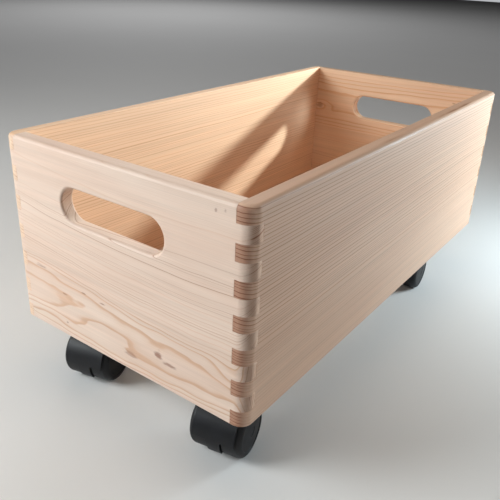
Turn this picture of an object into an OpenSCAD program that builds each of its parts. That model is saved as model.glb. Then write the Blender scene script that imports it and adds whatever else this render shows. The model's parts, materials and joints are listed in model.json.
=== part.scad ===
/* [Box] */
// Outside width of the box, between the two long side boards
box_w = 300; // [240:1:400]
// Outside length of the box, between the two end boards
box_l = 600; // [540:1:800]
// Height of the four boards
board_h = 203; // [180:1:260]
// Thickness of the four boards
board_t = 15; // [14:0.5:18]
// Number of equal fingers and gaps up each corner (an odd number)
finger_count = 13; // [7:2:17]
// Radius of the four upright outer corners
corner_r = 12; // [8:0.5:13]
// Radius of the rounded outer top edge
rim_r = 4.5; // [2:0.5:6]

/* [Handle slots] */
// Length of each handle slot, end to end
slot_l = 130.5; // [90:0.5:160]
// Height of each handle slot
slot_h = 35.5; // [26:0.5:40]
// Distance from the top edge down to the middle of the slot
slot_drop = 53; // [40:1:70]
// Distance of the front slot's middle from the middle of its board, to the right
front_slot_x = -4.5; // [-10:0.5:10]
// Radius of the rounded slot edges
slot_edge_r = 3; // [1:0.5:5]

/* [Bottom] */
// Thickness of the bottom board
bottom_t = 6; // [4:0.5:9]
// Depth of the groove that holds the bottom board
groove_d = 5; // [3:0.5:7]
// Height of the groove above the boards' lower edge
groove_z = 4; // [3:0.5:12]
// Thickness of the two cross battens that carry the casters
batten_t = 20; // [15:1:30]
// Width of the two cross battens
batten_w = 56; // [50:1:70]

/* [Casters] */
// Height of a caster, floor to the top of its plate
caster_h = 63; // [62:0.5:70]
// Radius of a caster wheel
wheel_r = 27.5; // [24:0.5:27.5]
// Width over a pair of wheels
wheels_w = 56; // [50:1:60]
// Distance from the swivel stem to the wheel axle
trail = 18; // [16:0.5:20]
// Distance of the swivel stems from the middle of the width
stem_x = 93.5; // [80:0.5:96]
// Distance of the front swivel stems from the middle of the length
front_stem_y = 236; // [200:1:245]
// Distance of the rear swivel stems from the middle of the length
rear_stem_y = 202; // [150:1:245]
// Turn of the front right caster at rest, in degrees
front_right_turn = 11; // [-180:1:180]
// Turn of the front left caster at rest, in degrees
front_left_turn = 15; // [-180:1:180]
// Turn of the rear right caster at rest, in degrees
rear_right_turn = 4; // [-180:1:180]
// Turn of the rear left caster at rest, in degrees
rear_left_turn = 9; // [-180:1:180]

/* [Hidden] */
$fn = 64;
// Overshoot of a cutter past the face it cuts
over = 1;
// Overlap that joins two shapes of one cutter
lap = 0.5;

// Levels, from the floor up: the battens' underside rests on the caster plates
batten_z = caster_h;
bottom_z = batten_z + batten_t;
board_z = bottom_z - groove_z;
rim_z = board_z + board_h;
finger_h = board_h / finger_count;

// Room between the bottom board's edge and the groove's end, and at each end of a batten
bottom_clear = 0.5;
batten_clear = 0.5;

// Caster plate and its screws
plate_w = 42;
plate_t = 2.5;
plate_corner_r = 5;
plate_hole_r = 2.4;
plate_hole_gap = 31;
screw_r = 2;
screw_l = 14;
screw_head_r = 3.9;
screw_head_h = 2;
plate_z = caster_h - plate_t;

// Swivel stem: a steel pin held by the plate, with a running fit in the hood
stem_r = 4;
stem_l = 36;
stem_clear = 0.06;
stem_end_gap = 1;
washer_r = 11;
washer_t = 1.2;
washer_gap = 0.2;
boss_r = 10.5;
boss_top_z = plate_z - washer_t - washer_gap;

// Axle: held by the hood's web, with a running fit in the wheels
axle_z = wheel_r;
axle_r = 3;
axle_short = 5;
axle_l = wheels_w - 2 * axle_short;
axle_clear = 0.06;
axle_end_gap = 1;

// Hood: a round shell over both wheels and a web between them
hood_gap = 0.8;
hood_t = 1.6;
hood_in_r = wheel_r + hood_gap;
hood_out_r = hood_in_r + hood_t;
wheel_proud = 5.5;
hood_w = wheels_w - 2 * wheel_proud;
hood_back_drop = 10;
web_w = 14;
web_floor_gap = 9;

// Wheels
wheel_side_gap = 0.5;
wheel_edge_r = 5.8;
wheel_wall = 3.5;
hub_r = 8;
wheel_in_x = web_w / 2 + wheel_side_gap;

// Wood and metal colours
pine = [0.87, 0.72, 0.56];
pine_side = [0.83, 0.67, 0.50];
ply = [0.85, 0.71, 0.52];
steel = [0.72, 0.73, 0.75];
black = [0.07, 0.07, 0.08];

// ---------- the wooden box ----------

// Plan outline with rounded corners
module rounded_plan(w, l, r) {
    square([w - 2 * r, l], center = true);
    square([w, l - 2 * r], center = true);
    for (x = [-1, 1], y = [-1, 1])
        translate([x * (w / 2 - r), y * (l / 2 - r)])
            circle(r);
}

// Solid block of the box's outer shape, with its outer top edge rounded
module outer_block() {
    flat_z = rim_z - rim_r;
    translate([0, 0, board_z])
        linear_extrude(board_h - rim_r)
            rounded_plan(box_w, box_l, corner_r);
    translate([0, 0, flat_z])
        linear_extrude(rim_r)
            rounded_plan(box_w - 2 * rim_r, box_l - 2 * rim_r, corner_r - rim_r);
    for (x = [-1, 1])
        translate([x * (box_w / 2 - rim_r), 0, flat_z])
            rotate([90, 0, 0])
                cylinder(r = rim_r, h = box_l - 2 * corner_r, center = true);
    for (y = [-1, 1])
        translate([0, y * (box_l / 2 - rim_r), flat_z])
            rotate([0, 90, 0])
                cylinder(r = rim_r, h = box_w - 2 * corner_r, center = true);
    for (x = [-1, 1], y = [-1, 1])
        translate([x * (box_w / 2 - corner_r), y * (box_l / 2 - corner_r), flat_z])
            rotate_extrude()
                translate([corner_r - rim_r, 0])
                    intersection() {
                        circle(rim_r);
                        translate([0, -rim_r])
                            square([rim_r, 2 * rim_r]);
                    }
}

// Blocks that fill every second finger step at one end board's two corners
module finger_steps(first) {
    for (i = [first : 2 : finger_count - 1], x = [-1, 1])
        translate([x * (box_w - board_t) / 2, 0, board_z + (i + 0.5) * finger_h])
            cube([board_t, board_t, finger_h], center = true);
}

// The room that the bottom board takes inside the box, grooves included
module bottom_room(clear) {
    w = box_w - 2 * board_t + 2 * (groove_d - clear);
    l = box_l - 2 * board_t + 2 * (groove_d - clear);
    translate([0, 0, bottom_z + bottom_t / 2])
        cube([w, l, bottom_t], center = true);
}

// Half section through the slot: its height against the board's thickness
module slot_section() {
    r = slot_h / 2;
    translate([0, -board_t / 2 - over])
        square([r, board_t + 2 * over]);
    for (s = [0, 1])
        mirror([0, s])
            difference() {
                translate([r - lap, board_t / 2 - slot_edge_r])
                    square([slot_edge_r + lap, slot_edge_r + over]);
                translate([r + slot_edge_r, board_t / 2 - slot_edge_r])
                    circle(slot_edge_r);
            }
}

// Cutter for one handle slot, centred on the origin, through along Y
module slot_cutter() {
    straight = slot_l - slot_h;
    rotate([0, 90, 0])
        linear_extrude(straight, center = true)
            for (s = [0, 1])
                mirror([s, 0])
                    slot_section();
    for (x = [-1, 1])
        translate([x * straight / 2, 0, 0])
            rotate([-90, 0, 0])
                rotate_extrude()
                    slot_section();
}

// End board: s is -1 at the front and 1 at the rear, and its slot's middle is at slot_x
module end_panel(s, slot_x) {
    color(pine)
        translate([0, s * (box_l - board_t) / 2, 0])
            difference() {
                intersection() {
                    union() {
                        translate([0, 0, board_z + board_h / 2])
                            cube([box_w - 2 * board_t, board_t, board_h], center = true);
                        finger_steps(1);
                    }
                    translate([0, -s * (box_l - board_t) / 2, 0])
                        outer_block();
                }
                translate([slot_x, 0, rim_z - slot_drop])
                    slot_cutter();
                translate([0, -s * (box_l - board_t) / 2, 0])
                    bottom_room(0);
            }
}

// Side board: s is -1 at the left and 1 at the right
module side_panel(s) {
    color(pine_side)
        difference() {
            intersection() {
                translate([s * (box_w - board_t) / 2, 0, board_z + board_h / 2])
                    cube([board_t, box_l, board_h], center = true);
                outer_block();
            }
            for (y = [-1, 1])
                translate([0, y * (box_l - board_t) / 2, 0])
                    finger_steps(1);
            bottom_room(0);
        }
}

module bottom_panel() {
    color(ply)
        bottom_room(bottom_clear);
}

// Cross batten under the bottom board, drilled for the plate screws of its two casters
module batten(y) {
    color(pine)
        difference() {
            translate([0, y, batten_z + batten_t / 2])
                cube([box_w - 2 * (board_t + batten_clear), batten_w, batten_t], center = true);
            for (x = [-stem_x, stem_x])
                translate([x, y, 0])
                    screw_shanks();
        }
}

// ---------- one caster: its swivel axis is Z, and it stands on the floor ----------

// Places what follows at the four plate holes
module at_plate_holes() {
    for (x = [-1, 1], y = [-1, 1])
        translate([x * plate_hole_gap / 2, y * plate_hole_gap / 2, plate_z])
            children();
}

// Places what follows on the axle, with the axle along Z
module on_axle() {
    translate([0, -trail, axle_z])
        rotate([0, 90, 0])
            children();
}

module screw_shanks() {
    at_plate_holes()
        cylinder(r = screw_r, h = screw_l);
}

module plate() {
    color(steel)
        translate([0, 0, plate_z])
            difference() {
                linear_extrude(plate_t)
                    rounded_plan(plate_w, plate_w, plate_corner_r);
                translate([0, 0, -over])
                    cylinder(r = stem_r, h = plate_t + 2 * over);
                translate([0, 0, -plate_z])
                    at_plate_holes()
                        translate([0, 0, -over])
                            cylinder(r = plate_hole_r, h = plate_t + 2 * over);
            }
}

module screws() {
    color(steel) {
        screw_shanks();
        at_plate_holes()
            translate([0, 0, -screw_head_h])
                cylinder(r = screw_head_r, h = screw_head_h);
    }
}

module stem() {
    color(steel)
        translate([0, 0, caster_h - stem_l])
            cylinder(r = stem_r, h = stem_l);
}

module washer() {
    color(black)
        translate([0, 0, plate_z - washer_t])
            difference() {
                cylinder(r = washer_r, h = washer_t);
                translate([0, 0, -over])
                    cylinder(r = stem_r, h = washer_t + 2 * over);
            }
}

// The shell covers the wheels down to the axle's level in front and a little lower behind
module hood_shell() {
    reach = 2 * hood_out_r;
    difference() {
        on_axle()
            difference() {
                cylinder(r = hood_out_r, h = hood_w, center = true);
                cylinder(r = hood_in_r, h = hood_w + 2 * over, center = true);
            }
        translate([-reach / 2, -trail - reach, axle_z - reach])
            cube([reach, reach, reach]);
        translate([-reach / 2, -trail - over, axle_z - reach - hood_back_drop])
            cube([reach, reach, reach]);
    }
}

// The web between the wheels carries the axle and the stem
module hood_web() {
    difference() {
        on_axle()
            cylinder(r = hood_in_r + hood_t / 2, h = web_w, center = true);
        translate([-web_w, -trail - 2 * hood_out_r, -wheel_r])
            cube([2 * web_w, 4 * hood_out_r, wheel_r + web_floor_gap]);
    }
}

module hood() {
    color(black)
        difference() {
            union() {
                hood_shell();
                hood_web();
                intersection() {
                    translate([0, 0, axle_z])
                        cylinder(r = boss_r, h = boss_top_z - axle_z);
                    difference() {
                        translate([-boss_r, -2 * boss_r, axle_z])
                            cube([2 * boss_r, 4 * boss_r, boss_top_z]);
                        on_axle()
                            cylinder(r = hood_in_r, h = hood_w, center = true);
                    }
                }
            }
            translate([0, 0, caster_h - stem_l - stem_end_gap])
                cylinder(r = stem_r + stem_clear, h = stem_l + stem_end_gap);
            on_axle()
                cylinder(r = axle_r, h = web_w + 2 * over, center = true);
        }
}

module axle() {
    color(steel)
        on_axle()
            cylinder(r = axle_r, h = axle_l, center = true);
}

// Half section of a wheel: radius against distance from the caster's middle
module wheel_section() {
    out_x = wheels_w / 2;
    bore_x = axle_l / 2 + axle_end_gap;
    difference() {
        translate([0, wheel_in_x])
            square([wheel_r, out_x - wheel_in_x]);
        difference() {
            translate([wheel_r - wheel_edge_r, out_x - wheel_edge_r])
                square(wheel_edge_r + over);
            translate([wheel_r - wheel_edge_r, out_x - wheel_edge_r])
                circle(wheel_edge_r);
        }
        translate([hub_r, wheel_in_x - over])
            square([wheel_r - wheel_edge_r - hub_r, out_x - wheel_wall - wheel_in_x + over]);
        translate([0, wheel_in_x - over])
            square([axle_r + axle_clear, bore_x - wheel_in_x + over]);
    }
}

// Wheel: s is -1 on the left and 1 on the right
module wheel(s) {
    color(black)
        mirror([s < 0 ? 1 : 0, 0, 0])
            on_axle()
                rotate_extrude()
                    wheel_section();
}

// ---------- the four casters ----------

module at_stem(x, y) translate([x, y, 0]) children();
module at_front_right() at_stem(stem_x, -front_stem_y) children();
module at_front_left() at_stem(-stem_x, -front_stem_y) children();
module at_rear_right() at_stem(stem_x, rear_stem_y) children();
module at_rear_left() at_stem(-stem_x, rear_stem_y) children();

// ---------- the four boards ----------

module front_panel() end_panel(-1, front_slot_x);
module rear_panel() end_panel(1, 0);
module left_panel() side_panel(-1);
module right_panel() side_panel(1);

front_panel();
rear_panel();
left_panel();
right_panel();
bottom_panel();
batten(-front_stem_y);  // front_batten
batten(rear_stem_y);  // rear_batten

at_front_right() plate();  // front_right_plate
at_front_right() screws();  // front_right_screws
at_front_right() stem();  // front_right_stem
at_front_right() washer();  // front_right_washer
at_front_right() rotate(front_right_turn) hood();  // front_right_hood
at_front_right() rotate(front_right_turn) axle();  // front_right_axle
at_front_right() rotate(front_right_turn) wheel(-1);  // front_right_left_wheel
at_front_right() rotate(front_right_turn) wheel(1);  // front_right_right_wheel
at_front_left() plate();  // front_left_plate
at_front_left() screws();  // front_left_screws
at_front_left() stem();  // front_left_stem
at_front_left() washer();  // front_left_washer
at_front_left() rotate(front_left_turn) hood();  // front_left_hood
at_front_left() rotate(front_left_turn) axle();  // front_left_axle
at_front_left() rotate(front_left_turn) wheel(-1);  // front_left_left_wheel
at_front_left() rotate(front_left_turn) wheel(1);  // front_left_right_wheel
at_rear_right() plate();  // rear_right_plate
at_rear_right() screws();  // rear_right_screws
at_rear_right() stem();  // rear_right_stem
at_rear_right() washer();  // rear_right_washer
at_rear_right() rotate(rear_right_turn) hood();  // rear_right_hood
at_rear_right() rotate(rear_right_turn) axle();  // rear_right_axle
at_rear_right() rotate(rear_right_turn) wheel(-1);  // rear_right_left_wheel
at_rear_right() rotate(rear_right_turn) wheel(1);  // rear_right_right_wheel
at_rear_left() plate();  // rear_left_plate
at_rear_left() screws();  // rear_left_screws
at_rear_left() stem();  // rear_left_stem
at_rear_left() washer();  // rear_left_washer
at_rear_left() rotate(rear_left_turn) hood();  // rear_left_hood
at_rear_left() rotate(rear_left_turn) axle();  // rear_left_axle
at_rear_left() rotate(rear_left_turn) wheel(-1);  // rear_left_left_wheel
at_rear_left() rotate(rear_left_turn) wheel(1);  // rear_left_right_wheel
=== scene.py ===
import json
import math

import bpy
from mathutils import Euler, Matrix, Vector


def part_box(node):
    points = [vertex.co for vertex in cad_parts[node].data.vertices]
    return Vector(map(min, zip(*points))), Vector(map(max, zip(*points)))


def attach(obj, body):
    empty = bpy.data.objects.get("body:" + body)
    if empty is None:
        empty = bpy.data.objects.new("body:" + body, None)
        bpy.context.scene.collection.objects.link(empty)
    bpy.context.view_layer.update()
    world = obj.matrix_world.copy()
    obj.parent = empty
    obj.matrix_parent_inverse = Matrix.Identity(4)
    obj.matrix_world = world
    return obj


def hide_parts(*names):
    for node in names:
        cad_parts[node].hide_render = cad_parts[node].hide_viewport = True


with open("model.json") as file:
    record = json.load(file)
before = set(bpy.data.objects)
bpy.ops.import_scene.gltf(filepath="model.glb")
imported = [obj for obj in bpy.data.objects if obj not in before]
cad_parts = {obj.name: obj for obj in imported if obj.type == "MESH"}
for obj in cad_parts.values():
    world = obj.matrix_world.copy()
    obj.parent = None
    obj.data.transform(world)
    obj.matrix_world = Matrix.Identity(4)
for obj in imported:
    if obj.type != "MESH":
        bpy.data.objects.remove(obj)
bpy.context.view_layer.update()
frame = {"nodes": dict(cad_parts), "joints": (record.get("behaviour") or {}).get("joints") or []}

NODES = frame["nodes"]
JOINTS = {joint["name"]: joint for joint in frame["joints"]}
MM = 0.001

# ---------- sizes ----------

# The boards, from the frame
BOX_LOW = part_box("front_panel")[0]
BOX_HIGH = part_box("rear_panel")[1]
WIDTH = BOX_HIGH.x - BOX_LOW.x
LENGTH = BOX_HIGH.y - BOX_LOW.y
BOARD_Z = BOX_LOW.z
RIM_Z = BOX_HIGH.z
BOARD_H = RIM_Z - BOARD_Z
BOARD_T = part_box("front_panel")[1].y - BOX_LOW.y
BOTTOM_LOW, BOTTOM_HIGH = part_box("bottom_panel")

# Corner joints and roundings, as the CAD model has them
FINGERS = 13
FINGER_H = BOARD_H / FINGERS
CORNER_R = 12 * MM
RIM_R = 4.5 * MM
JOINT_EASE = 0.3 * MM
SLOT_L = 130.5 * MM
SLOT_H = 35.5 * MM
SLOT_DROP = 53 * MM
FRONT_SLOT_X = -4.5 * MM
SLOT_EDGE_R = 3 * MM

# How far a cutter reaches past what it cuts
OVER = 2 * MM

# Plain shader settings
WOOD_SPECULAR = 0.45
PLASTIC_SPECULAR = 0.35

# Casters: the four corners, and the wheels' measures in the caster's own frame
CORNERS = ("front_right", "front_left", "rear_right", "rear_left")
WHEEL_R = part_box("front_right_left_wheel")[1].z / 2
WHEEL_IN_X = 7.5 * MM
WHEEL_OUT_X = 28 * MM
WHEEL_EDGE_R = 5.8 * MM
AXLE_R = 3 * MM


# ---------- mesh helpers ----------

def add_object(name, points, faces):
    """A new mesh object from points in metres and faces."""
    mesh = bpy.data.meshes.new(name)
    mesh.from_pydata(points, [], faces)
    mesh.validate()
    obj = bpy.data.objects.new(name, mesh)
    bpy.context.scene.collection.objects.link(obj)
    return obj


def loft(name, rings):
    """A closed solid through rings of equally many points, with flat ends."""
    count = len(rings[0])
    points = [point for ring in rings for point in ring]
    faces = [tuple(range(count))[::-1]]
    for level in range(len(rings) - 1):
        for i in range(count):
            low, high = level * count, (level + 1) * count
            j = (i + 1) % count
            faces.append((low + i, low + j, high + j, high + i))
    last = (len(rings) - 1) * count
    faces.append(tuple(range(last, last + count)))
    return add_object(name, points, faces)


def lathe(name, profile, steps):
    """A body of revolution about X: profile is (x, radius) from one end of the axis to the other."""
    points, starts = [], []
    for x, radius in profile:
        starts.append(len(points))
        turns = 1 if radius == 0 else steps
        for k in range(turns):
            angle = math.tau * k / turns
            points.append((x, radius * math.cos(angle), radius * math.sin(angle)))
    faces = []
    for row in range(len(profile) - 1):
        a, b = starts[row], starts[row + 1]
        tip_a, tip_b = profile[row][1] == 0, profile[row + 1][1] == 0
        for k in range(steps):
            n = (k + 1) % steps
            if tip_a:
                faces.append((a, b + k, b + n))
            elif tip_b:
                faces.append((a + n, a + k, b))
            else:
                faces.append((a + n, a + k, b + k, b + n))
    return add_object(name, points, faces)


def arc(centre, radius, start, end, steps):
    """Points of an arc in a plane, from start to end degrees."""
    angles = [math.radians(start + (end - start) * k / steps) for k in range(steps + 1)]
    return [(centre[0] + radius * math.cos(a), centre[1] + radius * math.sin(a)) for a in angles]


def rounded_outline(width, length, radius, steps):
    """Outline of a rectangle with round corners, counter-clockwise, centred on the origin."""
    x, y = width / 2 - radius, length / 2 - radius
    outline = []
    for sx, sy, start in ((1, 1, 0), (-1, 1, 90), (-1, -1, 180), (1, -1, 270)):
        outline += arc((sx * x, sy * y), radius, start, start + 90, steps)
    return outline


def carve(obj, cutter, operation):
    """Applies a boolean to obj and removes the cutter."""
    modifier = obj.modifiers.new("carve", "BOOLEAN")
    modifier.operation = operation
    modifier.object = cutter
    modifier.solver = "EXACT"
    bpy.context.view_layer.update()
    shaped = bpy.data.meshes.new_from_object(obj.evaluated_get(bpy.context.evaluated_depsgraph_get()))
    obj.modifiers.clear()
    obj.data = shaped
    bpy.data.objects.remove(cutter)


def ease_edges(obj, width, segments=2, angle=35):
    """Rounds the sharp edges and keeps the flat faces flat in the shading."""
    obj.data.shade_smooth()
    bevel = obj.modifiers.new("ease", "BEVEL")
    bevel.width = width
    bevel.segments = segments
    bevel.limit_method = "ANGLE"
    bevel.angle_limit = math.radians(angle)
    bevel.miter_outer = "MITER_ARC"
    bevel.use_clamp_overlap = True
    normals = obj.modifiers.new("normals", "WEIGHTED_NORMAL")
    normals.keep_sharp = True
    normals.weight = 80


def ease_cad_node(name, width, segments=2, angle=35):
    """Rounds a CAD node's sharp edges with modifiers only."""
    obj = NODES[name]
    weld = obj.modifiers.new("weld", "WELD")
    weld.merge_threshold = 0.001 * MM
    flat = obj.modifiers.new("flat", "DECIMATE")
    flat.decimate_type = "DISSOLVE"
    flat.angle_limit = math.radians(0.5)
    ease_edges(obj, width, segments, angle)
    return obj


def dress(obj, material):
    """Gives a piece its one material."""
    obj.data.materials.clear()
    obj.data.materials.append(material)


# ---------- material helpers ----------

def srgb(red, green, blue):
    """A colour given as 0-255 sRGB, as the shader's linear RGBA."""
    def linear(value):
        value /= 255
        return value / 12.92 if value <= 0.04045 else ((value + 0.055) / 1.055) ** 2.4
    return (linear(red), linear(green), linear(blue), 1)


class Paint:
    """Short calls that build one material's nodes. Every call returns an output socket."""

    def __init__(self, name):
        self.material = bpy.data.materials.new(name)
        self.material.use_nodes = True
        self.nodes = self.material.node_tree.nodes
        self.links = self.material.node_tree.links
        self.shader = self.nodes["Principled BSDF"]
        coordinates = self.nodes.new("ShaderNodeTexCoord")
        self.place = coordinates.outputs["Object"]
        self.normal = coordinates.outputs["Normal"]

    def put(self, socket, value):
        if isinstance(value, bpy.types.NodeSocket):
            self.links.new(value, socket)
        else:
            socket.default_value = value

    def math(self, operation, *values):
        node = self.nodes.new("ShaderNodeMath")
        node.operation = operation
        for socket, value in zip(node.inputs, values):
            self.put(socket, value)
        return node.outputs[0]

    def total(self, *values):
        result = values[0]
        for value in values[1:]:
            result = self.math("ADD", result, value)
        return result

    def stretch(self, vector, scale):
        node = self.nodes.new("ShaderNodeVectorMath")
        node.operation = "MULTIPLY"
        self.put(node.inputs[0], vector)
        node.inputs[1].default_value = scale
        return node.outputs[0]

    def length(self, x, y, z=0.0):
        node = self.nodes.new("ShaderNodeVectorMath")
        node.operation = "LENGTH"
        self.put(node.inputs[0], self.join(x, y, z))
        return node.outputs["Value"]

    def split(self, vector):
        node = self.nodes.new("ShaderNodeSeparateXYZ")
        self.put(node.inputs[0], vector)
        return node.outputs[0], node.outputs[1], node.outputs[2]

    def join(self, x, y, z):
        node = self.nodes.new("ShaderNodeCombineXYZ")
        for socket, value in zip(node.inputs, (x, y, z)):
            self.put(socket, value)
        return node.outputs[0]

    def noise(self, vector, scale=1.0, detail=2.0, roughness=0.5):
        node = self.nodes.new("ShaderNodeTexNoise")
        self.put(node.inputs["Vector"], vector)
        node.inputs["Scale"].default_value = scale
        node.inputs["Detail"].default_value = detail
        node.inputs["Roughness"].default_value = roughness
        return node.outputs["Fac"]

    def noise_along(self, value, scale, detail=1.0):
        node = self.nodes.new("ShaderNodeTexNoise")
        node.noise_dimensions = "1D"
        self.put(node.inputs["W"], value)
        node.inputs["Scale"].default_value = scale
        node.inputs["Detail"].default_value = detail
        return node.outputs["Fac"]

    def chance(self, value):
        node = self.nodes.new("ShaderNodeTexWhiteNoise")
        node.noise_dimensions = "1D"
        self.put(node.inputs["W"], value)
        return node.outputs["Value"]

    def fade(self, value, start, end, low=0.0, high=1.0):
        """A smooth step from low at start to high at end."""
        node = self.nodes.new("ShaderNodeMapRange")
        node.interpolation_type = "SMOOTHSTEP"
        for socket, item in zip(node.inputs, (value, start, end, low, high)):
            self.put(socket, item)
        return node.outputs[0]

    def ramp(self, value, stops):
        node = self.nodes.new("ShaderNodeValToRGB")
        elements = node.color_ramp.elements
        while len(elements) < len(stops):
            elements.new(0.5)
        for element, (position, colour) in zip(elements, stops):
            element.position = position
            element.color = colour
        self.put(node.inputs[0], value)
        return node.outputs[0]

    def mix(self, share, first, second, blend="MIX"):
        node = self.nodes.new("ShaderNodeMix")
        node.data_type = "RGBA"
        node.blend_type = blend
        self.put(node.inputs[0], share)
        self.put(node.inputs[6], first)
        self.put(node.inputs[7], second)
        return node.outputs[2]

    def bump(self, height, strength, distance):
        node = self.nodes.new("ShaderNodeBump")
        self.put(node.inputs["Height"], height)
        node.inputs["Strength"].default_value = strength
        node.inputs["Distance"].default_value = distance
        self.put(self.shader.inputs["Normal"], node.outputs[0])

    def set(self, **values):
        for name, value in values.items():
            self.put(self.shader.inputs[name.replace("_", " ")], value)


# ---------- wood ----------

CREAM = srgb(238, 214, 194)
BLUSH = srgb(230, 199, 177)
PEACH = srgb(222, 179, 146)
BROWN = srgb(166, 113, 80)
MARK_BROWN = srgb(138, 84, 60)
END_TINT = srgb(196, 168, 146)

# Noise scales, in cells per metre, as (along the board, depth, height)
WANDER = (7.0, 9.0, 20.0)
RAGGED = (30.0, 120.0, 120.0)
STREAK = (9.0, 1300.0, 1300.0)
FIBRE = (3.0, 160.0, 160.0)
CLOUD = (5.0, 20.0, 26.0)
SPECKLE = (90.0, 350.0, 350.0)
RING_DRIFT = 70.0


def grey(value):
    return (value, value, value, 1)


# Applies a board's tone, which is painted light and shade
def tinted(colour, painted_light_tone):
    return tuple(part * share for part, share in zip(colour, painted_light_tone)) + (1,)


def pine(name, along, pith, ring, wave, bow=(0.0, 0.0), lean=0.0, contrast=1.0, even=0.3, drift=6.0,
         bold=(-1.0, 0.0, 1.0, 1.0), swells=(), marks=(), painted_light_tone=(1.0, 1.0, 1.0), end_tint=END_TINT,
         blush=0.5):
    """Planed pine sawn from a log whose pith runs along the board at pith = (depth, height).

    ring is the mean ring width, wave the wander of the rings in (depth, height). bow lifts the
    pith by bow[0] times the squared distance from bow[1] along the board, and lean moves it in
    depth. contrast is how strongly the rings show, even the weakest ring's share of the strongest,
    and drift how much the ring width varies. bold (height, height, strength, strength) changes
    how strongly the rings show up the board. A swell is (along, height, half length, half height,
    rings) and bends the rings round a spot. A mark is (along, height, half length, half height,
    strength), a resin streak or knot. The board's tone tints its faces by how they are lit, as
    painted light and shade: warmer and darker where the faces stand in shade, cooler where the
    key lights them. end_tint colours the end grain, and blush is how far the early wood turns
    from cream to pink.
    """
    paint = Paint(name)
    x, y, height = paint.split(paint.place)
    run, depth = (x, y) if along == "x" else (y, x)
    inside = paint.join(run, depth, height)
    facing = paint.split(paint.normal)[0 if along == "x" else 1]
    end_grain = paint.fade(paint.math("ABSOLUTE", facing), 0.45, 0.9)
    side_grain = paint.math("SUBTRACT", 1.0, end_grain)

    def wander(offset, amount):
        moved = paint.join(run, paint.math("ADD", depth, offset), height)
        value = paint.noise(paint.stretch(moved, WANDER), 1.0, 3.0, 0.45)
        return paint.math("MULTIPLY", paint.math("SUBTRACT", value, 0.5), 2 * amount)

    bend = paint.math("POWER", paint.math("SUBTRACT", run, bow[1]), 2.0)
    ring_depth = paint.total(paint.math("SUBTRACT", depth, pith[0]),
                             paint.math("MULTIPLY", run, -lean), wander(0.7, wave[0]))
    ring_height = paint.total(paint.math("SUBTRACT", height, pith[1]),
                              paint.math("MULTIPLY", bend, -bow[0]), wander(3.1, wave[1]))
    radius = paint.length(0.0, ring_depth, ring_height)
    width_drift = paint.math("SUBTRACT", paint.noise_along(radius, RING_DRIFT), 0.5)
    ragged = paint.math("SUBTRACT", paint.noise(paint.stretch(inside, RAGGED), 1.0, 2.0), 0.5)
    rings = paint.total(paint.math("DIVIDE", radius, ring), paint.math("MULTIPLY", width_drift, drift),
                        paint.math("MULTIPLY", ragged, 0.25))
    for at, up, half_l, half_h, amount in swells:
        spot = paint.length(paint.math("DIVIDE", paint.math("SUBTRACT", run, at), half_l),
                            paint.math("DIVIDE", paint.math("SUBTRACT", height, up), half_h))
        rings = paint.total(rings, paint.fade(spot, 0.0, 1.0, amount, 0.0))

    share = paint.math("FRACT", rings)
    late = paint.ramp(share, ((0.0, grey(0.5)), (0.05, grey(0.0)), (0.45, grey(0.04)), (0.75, grey(0.30)),
                              (0.92, grey(0.95)), (0.97, grey(1.0)), (1.0, grey(0.5))))
    vigour = paint.fade(paint.chance(paint.math("FLOOR", rings)), 0.0, 1.0, even, 1.0)
    strength = paint.math("MULTIPLY", paint.math("MAXIMUM", paint.fade(height, *bold), end_grain), contrast)
    late = paint.math("MULTIPLY", late, paint.math("MULTIPLY", vigour, strength))
    flat_cut = paint.math("MULTIPLY", side_grain, paint.fade(
        paint.math("DIVIDE", paint.math("ABSOLUTE", ring_height), radius), 0.25, 0.75, 1.0, 0.0))
    streak = paint.noise(paint.stretch(inside, STREAK), 1.0, 2.0)
    fibre = paint.noise(paint.stretch(inside, FIBRE), 1.0, 3.0)
    cloud = paint.noise(paint.stretch(inside, CLOUD), 1.0, 3.0)
    speckle = paint.noise(paint.stretch(inside, SPECKLE), 1.0, 3.0)

    # The tone tint on cream, pink, peach and brown is painted light and shade: warmer and darker on shaded
    # boards, cooler on the lit front
    early = paint.mix(paint.fade(cloud, 0.30, 0.72, 0.0, blush), tinted(CREAM, painted_light_tone), tinted(BLUSH, painted_light_tone))
    warm_share = paint.math("MULTIPLY", paint.fade(late, 0.03, 0.60),
                            paint.fade(flat_cut, 0.0, 1.0, 0.30, 0.85))
    line_share = paint.math("MULTIPLY", paint.fade(late, 0.45, 1.0),
                            paint.total(0.60, paint.math("MULTIPLY", flat_cut, -0.45),
                                        paint.math("MULTIPLY", end_grain, 0.35)))
    colour = paint.mix(warm_share, early, tinted(PEACH, painted_light_tone))
    colour = paint.mix(line_share, colour, tinted(BROWN, painted_light_tone))
    colour = paint.mix(1.0, colour, paint.ramp(fibre, ((0.3, grey(0.90)), (0.7, grey(1.0)))), "MULTIPLY")
    colour = paint.mix(1.0, colour, paint.ramp(streak, ((0.35, grey(0.93)), (0.65, grey(1.0)))), "MULTIPLY")
    for at, up, half_l, half_h, amount in marks:
        uneven = paint.math("MULTIPLY", paint.math("SUBTRACT", speckle, 0.5), 2.4)
        spot = paint.total(paint.length(
            paint.math("DIVIDE", paint.math("SUBTRACT", run, at), half_l),
            paint.math("DIVIDE", paint.math("SUBTRACT", height, up), half_h)), uneven)
        colour = paint.mix(paint.fade(spot, 0.2, 1.0, amount, 0.0), colour, MARK_BROWN)
    colour = paint.mix(end_grain, colour, paint.mix(1.0, colour, end_tint, "MULTIPLY"))

    relief = paint.total(paint.math("MULTIPLY", streak, 0.6), paint.math("MULTIPLY", late, 0.5))
    rough = paint.fade(streak, 0.2, 0.8, 0.44, 0.60)
    paint.set(Base_Color=colour, Roughness=rough)
    paint.shader.inputs["Specular IOR Level"].default_value = WOOD_SPECULAR
    paint.bump(relief, 0.25, 0.12 * MM)
    return paint.material


# ---------- the box ----------

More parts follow.
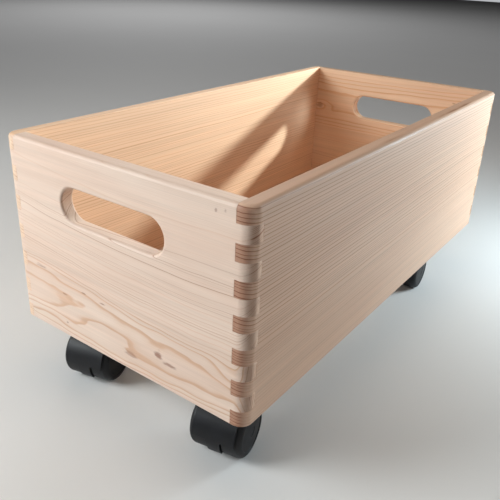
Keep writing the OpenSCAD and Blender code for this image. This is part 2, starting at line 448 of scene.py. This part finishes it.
def outer_block():
    """Solid block of the box's outer shape, with its round upright corners and round top edge."""
    steps = 16

    def ring(inset, z):
        outline = rounded_outline(WIDTH - 2 * inset, LENGTH - 2 * inset, CORNER_R - inset, steps)
        return [(x, y, z) for x, y in outline]

    rounding = arc((0, 0), RIM_R, 0, 90, 8)
    rings = [ring(0, BOARD_Z)]
    rings += [ring(RIM_R - out, RIM_Z - RIM_R + up) for out, up in rounding]
    return loft("outer_block", rings)


def comb(first, reach, across, low, high):
    """A board's blank: its fingers on steps first, first + 2, ... reach past the box's end."""
    side = []
    for step in range(FINGERS):
        half = reach + OVER if step % 2 == first else reach - BOARD_T
        bottom = BOARD_Z + step * FINGER_H - (OVER if step == 0 else 0)
        top = BOARD_Z + (step + 1) * FINGER_H + (OVER if step == FINGERS - 1 else 0)
        side += [(half, bottom), (half, top)]
    outline = side + [(-run, z) for run, z in reversed(side)]
    if across == "y":
        return loft("comb", [[(run, at, z) for run, z in outline] for at in (high, low)])
    return loft("comb", [[(at, run, z) for run, z in outline] for at in (low, high)])


def slot_cutter(middle, low, high):
    """Cutter for a handle slot through a board from low to high along Y, with rounded edges."""
    steps = 14
    edge = [(SLOT_EDGE_R - out, up) for out, up in arc((0, 0), SLOT_EDGE_R, 0, 90, 6)]
    levels = [(low - OVER, SLOT_EDGE_R)]
    levels += [(low + SLOT_EDGE_R - up, grow) for grow, up in reversed(edge)]
    levels += [(high - SLOT_EDGE_R + up, grow) for grow, up in edge]
    levels += [(high + OVER, SLOT_EDGE_R)]

    def ring(y, grow):
        height = SLOT_H + 2 * grow
        outline = rounded_outline(SLOT_L + 2 * grow, height, height / 2, steps)
        return [(middle + x, y, RIM_Z - SLOT_DROP - z) for x, z in outline]

    return loft("slot_cutter", [ring(y, grow) for y, grow in levels])


def groove_cutter():
    """The room of the bottom board, which the four boards hold in a groove."""
    margin = 0.5 * MM
    x, y = BOTTOM_HIGH.x + margin, BOTTOM_HIGH.y + margin
    outline = [(x, y), (-x, y), (-x, -y), (x, -y)]
    levels = (BOTTOM_LOW.z, BOTTOM_HIGH.z)
    return loft("groove_cutter", [[(px, py, z) for px, py in outline] for z in levels])


def board(name, node, first, reach, across, low, high, outer, material):
    """One of the four boards, cut from its blank. outer is the side it faces out to, -1 or 1."""
    blank_low = low - OVER if outer < 0 else low
    blank_high = high + OVER if outer > 0 else high
    piece = comb(first, reach, across, blank_low, blank_high)
    piece.name = name
    carve(piece, outer_block(), "INTERSECT")
    if across == "y":
        carve(piece, slot_cutter(FRONT_SLOT_X if outer < 0 else 0, low, high), "DIFFERENCE")
    carve(piece, groove_cutter(), "DIFFERENCE")
    ease_edges(piece, JOINT_EASE)
    dress(piece, material)
    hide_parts(node)
    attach(piece, "box")


def make_boards():
    half_w, half_l = WIDTH / 2, LENGTH / 2
    front_wood = pine(
        "pine_front", "x", pith=(BOX_LOW.y + 0.075, BOARD_Z + 0.034), ring=2.1 * MM,
        wave=(5.0 * MM, 2.5 * MM), bow=(0.30, 0.06), lean=0.01, contrast=1.25, blush=0.9,
        # The tone is a touch cooler: painted light of the cool key on the front
        painted_light_tone=(1.0, 1.0, 1.03),
        bold=(BOARD_Z + 0.125, BOARD_Z + 0.160, 1.0, 0.45), end_tint=srgb(220, 206, 196),
        swells=((0.145, BOARD_Z + 0.049, 0.045, 0.020, 1.3), (0.030, BOARD_Z + 0.066, 0.035, 0.016, 0.8),
                (-0.020, BOARD_Z + 0.030, 0.070, 0.022, 0.9), (-0.110, BOARD_Z + 0.016, 0.050, 0.014, 0.7)),
        marks=((0.052, BOARD_Z + 0.033, 0.006, 0.006, 0.75), (0.064, BOARD_Z + 0.028, 0.009, 0.003, 0.65),
               (0.015, BOARD_Z + 0.018, 0.012, 0.004, 0.45), (-0.112, BOARD_Z + 0.070, 0.009, 0.002, 0.45),
               (-0.077, BOARD_Z + 0.049, 0.005, 0.0016, 0.6), (-0.047, BOARD_Z + 0.061, 0.004, 0.0012, 0.6),
               (-0.021, BOARD_Z + 0.059, 0.004, 0.0012, 0.6), (-0.077, BOARD_Z + 0.016, 0.003, 0.0015, 0.7),
               (0.116, BOARD_Z + 0.193, 0.0015, 0.0022, 0.5), (0.125, BOARD_Z + 0.195, 0.0015, 0.002, 0.4)))
    rear_wood = pine(
        "pine_rear", "x", pith=(BOX_HIGH.y + 0.070, BOARD_Z + 0.150), ring=2.9 * MM,
        # The tone is warmer and darker: painted shade of the shaded inner wall
        wave=(3.0 * MM, 2.0 * MM), bow=(0.15, -0.03), contrast=1.0, blush=0.7, painted_light_tone=(1.0, 0.88, 0.74),
        swells=((-0.128, BOARD_Z + 0.142, 0.030, 0.016, 1.5),
                (0.090, BOARD_Z + 0.055, 0.040, 0.018, 1.0)),
        marks=((-0.128, BOARD_Z + 0.142, 0.008, 0.005, 0.55),
               (0.096, BOARD_Z + 0.179, 0.003, 0.0015, 0.45)))
    left_wood = pine(
        "pine_left", "y", pith=(BOX_LOW.x + 0.060, BOARD_Z + 0.330), ring=3.0 * MM,
        wave=(1.6 * MM, 1.6 * MM), bow=(0.02, 0.10), contrast=1.0, even=0.7, drift=2.5, blush=0.4,
        # The tone is warmer and darker: painted shade of the shaded inner wall. The end_tint above one
        # lightens and cools the fingers' end grain on the front face: painted light from the left
        painted_light_tone=(1.04, 0.89, 0.73), end_tint=(1.0, 1.08, 1.2, 1))
    right_wood = pine(
        "pine_right", "y", pith=(BOX_HIGH.x - 0.030, BOARD_Z - 0.120), ring=3.3 * MM,
        wave=(1.5 * MM, 1.2 * MM), bow=(0.01, 0.0), contrast=1.3, even=0.8, drift=2.0, blush=0.4,
        # The tone is darker and warmer: painted shade of its shaded outer face and inner wall
        painted_light_tone=(0.93, 0.80, 0.72),
        bold=(BOARD_Z + 0.030, BOARD_Z + 0.110, 0.60, 1.0), end_tint=srgb(205, 186, 178))
    board("front_board", "front_panel", 1, half_w, "y", -half_l, -half_l + BOARD_T, -1,
          front_wood)
    board("rear_board", "rear_panel", 1, half_w, "y", half_l - BOARD_T, half_l, 1,
          rear_wood)
    board("left_board", "left_panel", 0, half_l, "x", -half_w, -half_w + BOARD_T, -1,
          left_wood)
    board("right_board", "right_panel", 0, half_l, "x", half_w - BOARD_T, half_w, 1,
          right_wood)


def make_bottom():
    """The thin bottom board and the two battens keep their CAD shape."""
    bottom_wood = pine(
        "pine_bottom", "y", pith=(0.02, BOTTOM_LOW.z - 0.25), ring=5.0 * MM,
        wave=(6 * MM, 6 * MM), contrast=0.6)
    dress(ease_cad_node("bottom_panel", 0.2 * MM), bottom_wood)
    batten_wood = pine(
        "pine_batten", "x", pith=(-0.35, -0.02), ring=3.0 * MM, wave=(2 * MM, 2 * MM), contrast=0.9)
    for name in ("front_batten", "rear_batten"):
        dress(ease_cad_node(name, 0.8 * MM), batten_wood)


# ---------- casters ----------

def plastic(name, base, worn, roughness, grain):
    """Moulded plastic with a fine spark texture and faint handling wear."""
    paint = Paint(name)
    cloud = paint.noise(paint.place, 60.0, 4.0, 0.6)
    spark = paint.noise(paint.place, grain, 2.0, 0.6)
    colour = paint.mix(paint.fade(cloud, 0.40, 0.75, 0.0, 1.0), base, worn)
    rough = paint.fade(cloud, 0.25, 0.75, roughness - 0.05, roughness + 0.07)
    paint.set(Base_Color=colour, Roughness=rough)
    paint.shader.inputs["Specular IOR Level"].default_value = PLASTIC_SPECULAR
    paint.bump(spark, 0.18, 0.05 * MM)
    return paint.material


def metal(name, base, dull, roughness, brush):
    """Zinc-plated or turned steel with fine marks."""
    paint = Paint(name)
    cloud = paint.noise(paint.place, 90.0, 5.0, 0.65)
    line = paint.noise(paint.stretch(paint.place, brush), 1.0, 2.0)
    colour = paint.mix(paint.fade(cloud, 0.35, 0.70), base, dull)
    paint.shader.inputs["Metallic"].default_value = 1.0
    rough = paint.fade(cloud, 0.25, 0.75, roughness - 0.08, roughness + 0.10)
    paint.set(Base_Color=colour, Roughness=rough)
    paint.bump(line, 0.12, 0.04 * MM)
    return paint.material


def caster_place(corner):
    """The caster's own frame: its stem's axis, turned as its wheels stand at rest."""
    low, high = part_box(corner + "_stem")
    axis = Vector(JOINTS[corner + "_wheel_r_spin"]["axis"])
    turn = math.atan2(axis.y, axis.x)
    middle = ((low.x + high.x) / 2, (low.y + high.y) / 2, 0)
    return Matrix.Translation(middle) @ Matrix.Rotation(turn, 4, "Z")


def wheel_place(corner, side):
    """The wheel's own frame: X runs outwards along the axle, from the caster's middle."""
    joint = JOINTS[f"{corner}_wheel_{side}_spin"]
    place = caster_place(corner)
    hub = place.inverted() @ Vector(joint["pos_m"])
    flip = Matrix.Rotation(math.pi if side == "l" else 0, 4, "Z")
    return place @ Matrix.Translation((0, hub.y, hub.z)) @ flip


def wheel_profile():
    """Half section of a wheel, from the inner end of its axis round the tread to the outer face."""
    wall = 3.5 * MM
    hub_r = 8 * MM
    room_r = WHEEL_R - WHEEL_EDGE_R
    bore_r = AXLE_R + 0.06 * MM
    floor_x = WHEEL_OUT_X - wall
    foot = 0.8 * MM
    groove_r, groove_w, groove_d = 19.6 * MM, 0.9 * MM, 0.7 * MM
    cap_r, cap_drop = 6.0 * MM, 0.5 * MM
    crown, crown_steps = 0.6 * MM, 8
    profile = [(floor_x, 0), (floor_x, bore_r), (WHEEL_IN_X, bore_r), (WHEEL_IN_X, hub_r),
               (floor_x, hub_r), (floor_x, room_r), (WHEEL_IN_X, room_r)]
    profile += [(WHEEL_IN_X, WHEEL_R - foot), (WHEEL_IN_X + foot, WHEEL_R)]
    profile += arc((WHEEL_OUT_X - WHEEL_EDGE_R, WHEEL_R - WHEEL_EDGE_R), WHEEL_EDGE_R, 90, 8, 12)
    profile += [(WHEEL_OUT_X, groove_r + groove_w),
                (WHEEL_OUT_X - groove_d, groove_r + 0.7 * groove_w),
                (WHEEL_OUT_X - groove_d, groove_r + 0.3 * groove_w)]
    for k in range(crown_steps + 1):
        radius = groove_r + (cap_r - groove_r) * k / crown_steps
        profile.append((WHEEL_OUT_X - crown * (radius / groove_r) ** 2, radius))
    profile += [(WHEEL_OUT_X - cap_drop, cap_r - 0.5 * MM), (WHEEL_OUT_X - cap_drop, 0)]
    return profile


def make_wheels(corner, material):
    for side, word in (("l", "left"), ("r", "right")):
        wheel = lathe(f"{corner}_{word}_tyre", wheel_profile(), 96)
        wheel.matrix_world = wheel_place(corner, side)
        ease_edges(wheel, 0.25 * MM, 2, 40)
        dress(wheel, material)
        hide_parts(f"{corner}_{word}_wheel")
        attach(wheel, f"{corner}_wheel_{side}")


def make_casters():
    hood_black = plastic("hood_black", srgb(15, 16, 20), srgb(22, 23, 28), 0.46, 2600.0)
    wheel_black = plastic("wheel_black", srgb(17, 17, 20), srgb(26, 26, 30), 0.50, 2200.0)
    ring_black = plastic("ring_black", srgb(22, 22, 24), srgb(32, 32, 35), 0.5, 2600.0)
    zinc = metal("zinc", srgb(186, 190, 196), srgb(150, 154, 160), 0.34, (900.0, 60.0, 900.0))
    turned = metal("turned_steel", srgb(178, 178, 180), srgb(140, 140, 144), 0.30, (90.0, 90.0, 2500.0))
    for corner in CORNERS:
        dress(ease_cad_node(corner + "_hood", 0.5 * MM, 3), hood_black)
        dress(ease_cad_node(corner + "_washer", 0.3 * MM), ring_black)
        dress(ease_cad_node(corner + "_plate", 0.5 * MM), zinc)
        dress(ease_cad_node(corner + "_screws", 0.4 * MM), zinc)
        dress(ease_cad_node(corner + "_stem", 0.4 * MM), turned)
        dress(ease_cad_node(corner + "_axle", 0.4 * MM), turned)
        make_wheels(corner, wheel_black)


# ---------- the studio ----------

def make_floor():
    reach = 9.0
    corners = [(-reach, -reach, 0), (reach, -reach, 0), (reach, reach, 0), (-reach, reach, 0)]
    floor = add_object("studio_floor", corners, [(0, 1, 2, 3)])
    paint = Paint("studio_paper")
    cloud = paint.noise(paint.place, 1.5, 3.0)
    paint.set(Base_Color=paint.mix(cloud, srgb(222, 221, 219), srgb(228, 227, 225)), Roughness=0.7)
    floor.data.materials.append(paint.material)


def add_light(name, place, target, size, power, colour):
    """A round soft light at place, aimed at target, with its diameter in metres and its watts."""
    data = bpy.data.lights.new(name, "AREA")
    data.shape = "DISK"
    data.size = size
    data.energy = power
    data.color = colour
    light = bpy.data.objects.new(name, data)
    light.location = place
    light.rotation_euler = (Vector(target) - Vector(place)).to_track_quat("-Z", "Y").to_euler()
    light.visible_camera = False
    bpy.context.scene.collection.objects.link(light)
    return light


def make_lights():
    middle = (0, 0, 0.18)
    add_light("key_front_left", (-0.95, -1.35, 1.15), middle, 0.9, 18, (0.92, 0.98, 1.0))
    add_light("low_front_left", (-0.62, -0.95, 0.50), (0, -0.2, 0.18), 0.5, 4.0, (0.92, 0.98, 1.0))
    add_light("side_rear_right", (0.48, 0.50, 0.30), (0.15, 0.28, 0.18), 0.25, 3.8, (0.76, 0.92, 1.0))
    add_light("top", (0, 0, 1.5), (0, 0, 0), 1.2, 4.0, (1.0, 0.78, 0.58))
    # This one shines through the rear slot and over the rear board, into the box only
    window = add_light("window_behind", (0.54, 1.10, 0.575), (0, 0.1, 0.2), 0.08, 26, (0.88, 1.0, 1.0))
    inside = bpy.data.collections.new("lit_by_window")
    for name in ("left_board", "front_board", "bottom_panel"):
        inside.objects.link(bpy.data.objects[name])
    window.light_linking.receiver_collection = inside
    # Four far lights keep the floor pale all round
    wash_out, wash_up, wash_aim, wash_size, wash_power = 5.0, 2.6, 4.4, 2.6, 45
    for k in range(4):
        angle = math.radians(45 + 90 * k)
        way = Vector((math.cos(angle), math.sin(angle), 0))
        place = wash_out * way + Vector((0, 0, wash_up))
        add_light(f"floor_wash_{k}", place, wash_aim * way, wash_size, wash_power, (0.97, 0.98, 1.0))
    # The pale backdrop is seen by the camera and lights nothing
    world = bpy.data.worlds.new("studio")
    bpy.context.scene.world = world
    world.use_nodes = True
    background = world.node_tree.nodes["Background"]
    background.inputs["Color"].default_value = (0.93, 0.96, 1.0, 1)
    background.inputs["Strength"].default_value = 0.5
    world.cycles_visibility.diffuse = False
    world.cycles_visibility.glossy = False


def make_camera():
    """The camera solved from the box's straight edges: angles in degrees, place in metres."""
    azimuth, elevation, roll = 35.68, 24.34, 2.212
    place = (0.3792, -0.6303, 0.4434)
    data = bpy.data.cameras.new("camera")
    data.sensor_width = 36
    data.lens = 43.95
    data.shift_x = 0.0132
    data.shift_y = -0.0309
    camera = bpy.data.objects.new("camera", data)
    tilt = Euler((math.radians(90 - elevation), 0, math.radians(azimuth))).to_matrix()
    camera.matrix_world = (Matrix.Translation(place)
                           @ (tilt @ Matrix.Rotation(math.radians(roll), 3, "Z")).to_4x4())
    bpy.context.scene.collection.objects.link(camera)
    bpy.context.scene.camera = camera


make_camera()
make_boards()
make_bottom()
make_casters()
make_floor()
make_lights()
bpy.context.scene.view_settings.view_transform = "Standard"
